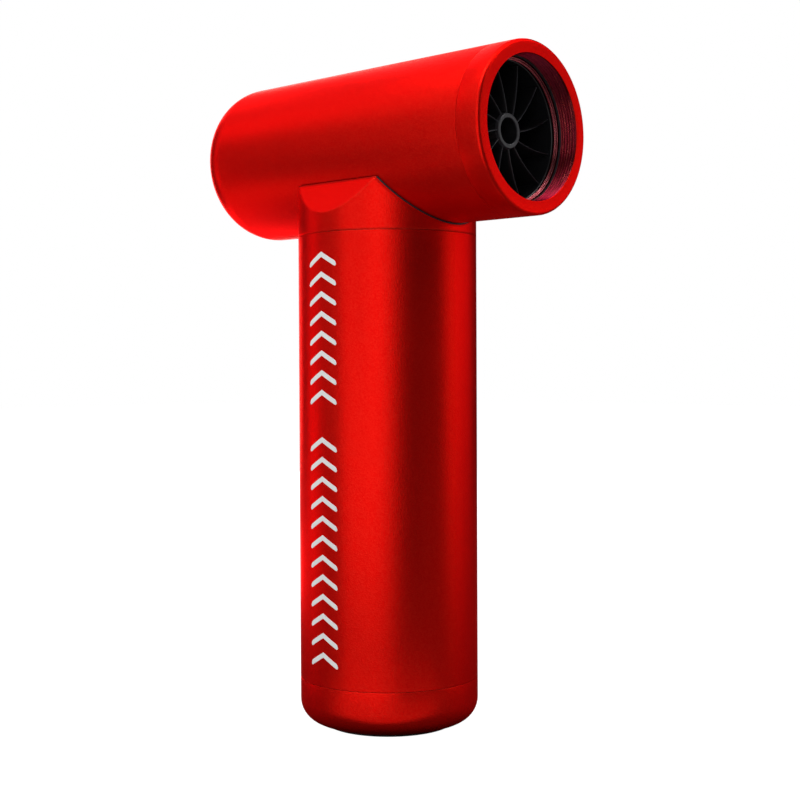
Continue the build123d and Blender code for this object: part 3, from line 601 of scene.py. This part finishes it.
# Faces inside the mouth take the thread's painted shade, and the lip's faces take its painted light.
out = np.hypot(centres[:, 1], centres[:, 2] - head_z)
inside = (out < 17.6) & (centres[:, 0] < front - 0.12)
lip = (out < 17.75) & (centres[:, 0] < lip_front + 0.01) & (centres[:, 0] > lip_back - 0.01)
collar.data.polygons.foreach_set("material_index", np.where(lip, 2, inside).astype(int).tolist())

# ---- Seal, duct, vanes and hub --------------------------------------------------------------
# A silicone ring lies in the mouth's groove. Behind it one dark moulding holds the duct, twelve
# thin guide vanes and the hollow hub that carries the motor.
black_rubber = finish(
    "black_rubber", (0.008, 0.008, 0.012), (0.03, 0.03, 0.035), (0.005, 0.005, 0.008),
    0.0, 0.6, 0.1, 2000.0, 0.00001, 0.0002, fleck=0.15, sheen=0.1,
)
duct_black = finish(
    "duct_black", (0.010, 0.010, 0.012), (0.035, 0.035, 0.04), (0.006, 0.006, 0.007),
    0.0, 0.22, 0.06, 2600.0, 0.000006, 0.0002, fleck=0.1,
)
# The vanes and the hub are one moulding shown in two tones: a grey front as painted light, and near black
# behind it as painted shade deeper in the duct.
vane_painted_light = finish(
    "vane_painted_light", (0.045, 0.045, 0.052), (0.13, 0.13, 0.15), (0.03, 0.03, 0.035),
    0.0, 0.36, 0.06, 2600.0, 0.000008, 0.0002, fleck=0.1,
)
vane_painted_shade = finish(
    "vane_painted_shade", (0.006, 0.006, 0.008), (0.02, 0.02, 0.025), (0.004, 0.004, 0.005),
    0.0, 0.5, 0.06, 2600.0, 0.000008, 0.0001, fleck=0.1,
)
dress(black_rubber, "mouth_seal", "neck_gasket", "front_damper", "rear_damper")
low, high = span("vane_housing")
duct_front = high[0]
duct_rear = low[0]
duct_outer = 17.5
duct_bore = 16.2
duct_outline = rounded(
    [
        (duct_front, duct_bore, 0.3), (duct_front, duct_outer, 0.2),
        (duct_rear, duct_outer, 0.2), (duct_rear, duct_bore, 0.2),
    ],
    3,
)
make_piece(
    "duct_wall", [turned_on_head(duct_outline)],
    duct_black, "housing", replaces=["vane_housing"],
)

nose = duct_front - 0.4
nose_radius = 4.15
nose_bore = 3.1
hub_radius = 9.0
motor_bore = 8.2
bore_end = 24.0
hub_rear = 4.0
hub_stations = np.linspace(0, 1, 28)
hub_x = nose - 0.25 + (bore_end - nose + 0.25) * hub_stations
swell = 0.55 * hub_stations + 0.45 * np.sin(hub_stations * np.pi / 2) ** 1.3
hub_r = nose_radius + (hub_radius - nose_radius) * swell
nose_edge = rounded(
    [
        (bore_end, nose_bore, 0), (nose, nose_bore, 0.22),
        (nose, nose_radius, 0.25), (nose - 0.5, nose_radius, 0),
    ],
    4,
)
hub_inside = [
    (hub_rear, hub_radius), (hub_rear, motor_bore), (bore_end, motor_bore), (bore_end + 0.5, nose_bore),
]
hub_outline = np.concatenate([nose_edge[1:-1], np.stack([hub_x[1:], hub_r[1:]], -1), hub_inside])
shells = [turned_on_head(hub_outline, 128)]
vane_count = 12
vane_long = 12.7
vane_front = nose - 0.3
vane_root = 3.8
vane_sink = 0.4
vane_thick = 0.36
first_vane = -3.0
vane_sweep = math.radians(14.0)
steps_out, around = 15, 14
for vane in range(vane_count):
    share = np.linspace(0, 1, steps_out)[:, None]
    radius = vane_root + (duct_bore + vane_sink - vane_root) * share
    t = np.linspace(0, 2 * np.pi, around, endpoint=False)[None, :]
    thick = vane_thick * (1 - 0.25 * share)
    x = vane_front - vane_long / 2 + np.sign(np.cos(t)) * np.abs(np.cos(t)) ** 0.35 * vane_long / 2
    taper = 0.55 + 0.45 * np.clip((vane_front - x) / 1.5, 0, 1)
    side = thick * np.sign(np.sin(t)) * np.abs(np.sin(t)) ** 0.5 * taper
    lean = math.radians(first_vane + 360 / vane_count * vane) - vane_sweep * share**0.8 + 0 * t
    y = -radius * np.sin(lean) - side * np.cos(lean)
    z = head_z - radius * np.cos(lean) + side * np.sin(lean)
    points = np.stack([x + 0 * share, y, z], -1).reshape(-1, 3)
    ends = [list(range(around)), list(range((steps_out - 1) * around, steps_out * around))]
    shells.append((points, list(grid_faces(steps_out, around)) + ends))
vanes = make_piece("guide_vanes", shells, vane_painted_shade, "housing", smooth_angle=50)
vanes.data.materials.append(vane_painted_light)
# Faces at the front of the vanes and the hub take the painted light; the rest keep the painted shade.
centres = np.zeros(len(vanes.data.polygons) * 3)
vanes.data.polygons.foreach_get("center", centres)
painted_light_faces = centres.reshape(-1, 3)[:, 0] / mm > vane_front - 0.45
vanes.data.polygons.foreach_set("material_index", painted_light_faces.astype(int).tolist())

# ---- Everything else in the head ------------------------------------------------------------
# The rear grille is one moulding, with the inlet's bell behind it. The motor's turned can, its
# core, coils, bearings and shaft sit in the hub, and the milled wheel runs behind the vanes.
black_plastic = finish(
    "black_moulding", (0.016, 0.016, 0.018), (0.06, 0.06, 0.065), (0.011, 0.011, 0.013),
    0.0, 0.42, 0.08, 3000.0, 0.000012, 0.00025, fleck=0.12,
)
bare_metal = finish(
    "turned_aluminium", (0.6, 0.6, 0.62), (0.78, 0.78, 0.79), (0.5, 0.5, 0.52),
    1.0, 0.28, 0.08, 3500.0, 0.000004, 0.0002, fleck=0.1,
)
steel = finish(
    "ground_steel", (0.42, 0.42, 0.43), (0.6, 0.6, 0.6), (0.34, 0.34, 0.35),
    1.0, 0.24, 0.08, 5000.0, 0.000002, 0.0002, fleck=0.1,
)
black_steel = finish(
    "black_steel", (0.05, 0.05, 0.052), (0.25, 0.25, 0.25), (0.03, 0.03, 0.032),
    1.0, 0.38, 0.08, 4000.0, 0.000003, 0.0002, fleck=0.1,
)
copper = finish(
    "enamelled_copper", (0.62, 0.24, 0.09), (0.8, 0.42, 0.2), (0.42, 0.14, 0.05),
    1.0, 0.25, 0.08, 3000.0, 0.00003, 0.0002, fleck=0.3,
)
nickel = finish(
    "nickel_strip", (0.62, 0.59, 0.53), (0.75, 0.73, 0.68), (0.5, 0.48, 0.43),
    1.0, 0.3, 0.08, 3000.0, 0.000003, 0.0002, fleck=0.1,
)
dress(
    black_plastic, "intake_grille", "inlet_shroud", "upper_cell_frame", "lower_cell_frame",
    "tact_switch", "driver_chips", "port_tongue",
)
dress(bare_metal, "impeller", "motor_can", "capacitor")
dress(
    steel, "motor_shaft", "magnet_sleeve", "bearing_outer_rings", "bearing_inner_rings",
    "bearing_balls", "preload_spring", "stator_core", "rotor_magnet",
)
dress(black_steel, "impeller_nut", "neck_screws", "base_screws", "board_screws")
dress(copper, "stator_coils")
dress(nickel, "cell_links_upper", "cell_links_lower")

# ---- Base pad -------------------------------------------------------------------------------
# A black rubber disc glued into the cap's recess over the screws, with two shallow rings.
pad_radius = 16.2
pad_thick = 1.6
ring_deep = 0.3
pad_outline = rounded(
    [
        (0.0, 13.1, 0.1), (0.0, pad_radius, 0.25), (pad_thick, pad_radius, 0.1), (pad_thick, 0, 0),
        (0.0, 0, 0), (0.0, 8.0, 0.1), (ring_deep, 8.2, 0.1), (ring_deep, 8.9, 0.1),
        (0.0, 9.1, 0.1), (0.0, 11.9, 0.1), (ring_deep, 12.1, 0.1), (ring_deep, 12.9, 0.1),
    ],
    3,
)
make_piece(
    "rubber_foot", [turned_upright(pad_outline, 160)],
    black_rubber, "housing", replaces=["base_pad"],
)

# ---- Controls at the back of the grip -------------------------------------------------------
# A satin black panel fills a round-ended window. It carries a polished ring round the dished
# button, a milky light bar, and the charge port with its tongue of gold contacts.
panel_black = finish(
    "panel_black", (0.012, 0.012, 0.014), (0.05, 0.05, 0.055), (0.008, 0.008, 0.01),
    0.0, 0.3, 0.05, 3500.0, 0.000008, 0.0002, coat=0.1, fleck=0.1,
)
polished = finish(
    "polished_ring", (0.72, 0.72, 0.74), (0.85, 0.85, 0.86), (0.6, 0.6, 0.62),
    1.0, 0.16, 0.05, 6000.0, 0.000002, 0.00015, fleck=0.08,
)
milky = finish(
    "milky_bar", (0.72, 0.74, 0.76), (0.85, 0.86, 0.88), (0.62, 0.64, 0.67),
    0.0, 0.28, 0.05, 1500.0, 0.000004, 0.00015, coat=0.2, fleck=0.1,
)
gold = finish(
    "gold_contact", (0.85, 0.6, 0.25), (0.95, 0.75, 0.4), (0.7, 0.46, 0.16),
    1.0, 0.22, 0.06, 6000.0, 0.000002, 0.0001, fleck=0.1,
)
board_green = finish(
    "board_green", (0.012, 0.09, 0.04), (0.03, 0.2, 0.1), (0.008, 0.06, 0.03),
    0.0, 0.3, 0.08, 2500.0, 0.00001, 0.0002, coat=0.3,
)
cell_blue = finish(
    "cell_wrap", (0.03, 0.13, 0.36), (0.1, 0.25, 0.5), (0.02, 0.09, 0.28),
    0.0, 0.3, 0.06, 900.0, 0.00001, 0.0003, coat=0.2, fleck=0.1,
)
wire_red = finish(
    "wire_red", (0.45, 0.01, 0.01), (0.6, 0.05, 0.04), (0.36, 0.008, 0.008),
    0.0, 0.5, 0.08, 2000.0, 0.000006, 0.0002, sheen=0.1,
)
dress(panel_black, "control_panel")
dress(polished, "button_trim", "charge_port")
dress(milky, "light_guide", "status_leds", "switch_plunger")
dress(board_green, "control_board")
dress(cell_blue, "battery_cell_1", "battery_cell_2", "battery_cell_3")
dress(wire_red, "battery_leads", "motor_leads")

button_low, button_high = span("power_button")
button_z = (button_low[2] + button_high[2]) / 2
button_face = -button_low[0]
stem_end = -button_high[0]
button_radius = 5.0
flange = 5.8
flange_front = 19.95
flange_back = 19.2
stem = 1.6
dish_edge = 3.9
dish_top = button_face - 0.05
dish = np.linspace(0, dish_edge, 14)
dish_x = dish_top - 0.5 * (1 - (dish / dish_edge) ** 2)
edge_line = rounded(
    [
        (dish_top, dish_edge, 0.3), (button_face, 4.2, 0.15), (button_face, button_radius, 0.6),
        (flange_front, button_radius, 0.1), (flange_front, flange, 0.15), (flange_back, flange, 0.15),
        (flange_back, stem, 0.1), (stem_end, stem, 0.15), (stem_end, 0, 0),
    ],
    4,
)
outline = np.concatenate([np.stack([dish_x, dish], -1)[:-1], edge_line])
turns = 96
a = np.linspace(0, 2 * np.pi, turns, endpoint=False)
along, out = outline[:, :1], outline[:, 1:]
ring_x = -np.broadcast_to(along, (len(outline), turns))
points = np.stack([ring_x, out * np.sin(a), button_z + out * np.cos(a)], -1)
make_piece(
    "dished_button", [(points, grid_faces(len(outline), turns, wrap_rows=True))],
    black_plastic, "power_button", replaces=["power_button"],
)

tongue_low, tongue_high = span("port_tongue")
shells = []
contact_count = 8
contact_pitch = 0.7
contact_half = 0.13
first_contact = -2.45
contact_rear = tongue_low[0] + 0.25
contact_tip = tongue_low[0] + 3.2
for face_side in (-1, 1):
    face_z = (tongue_low[2] + tongue_high[2]) / 2 + face_side * 0.37
    for contact in range(contact_count):
        y0 = first_contact + contact_pitch * contact - contact_half
        y1 = y0 + 2 * contact_half
        ring = np.array([(contact_rear, y0), (contact_rear, y1), (contact_tip, y1), (contact_tip, y0)])
        shrunk = (ring - ring.mean(0)) * np.array([0.97, 0.7]) + ring.mean(0)
        layers = [(ring, -0.03), (ring, 0.005), (shrunk, 0.03)]
        points = np.concatenate([np.column_stack([p, np.full(4, face_z + face_side * h)]) for p, h in layers])
        faces = list(grid_faces(3, 4)) + [[0, 1, 2, 3], [8, 9, 10, 11]]
        shells.append((points, faces))
make_piece("port_contacts", shells, gold, "housing", smooth_angle=30)
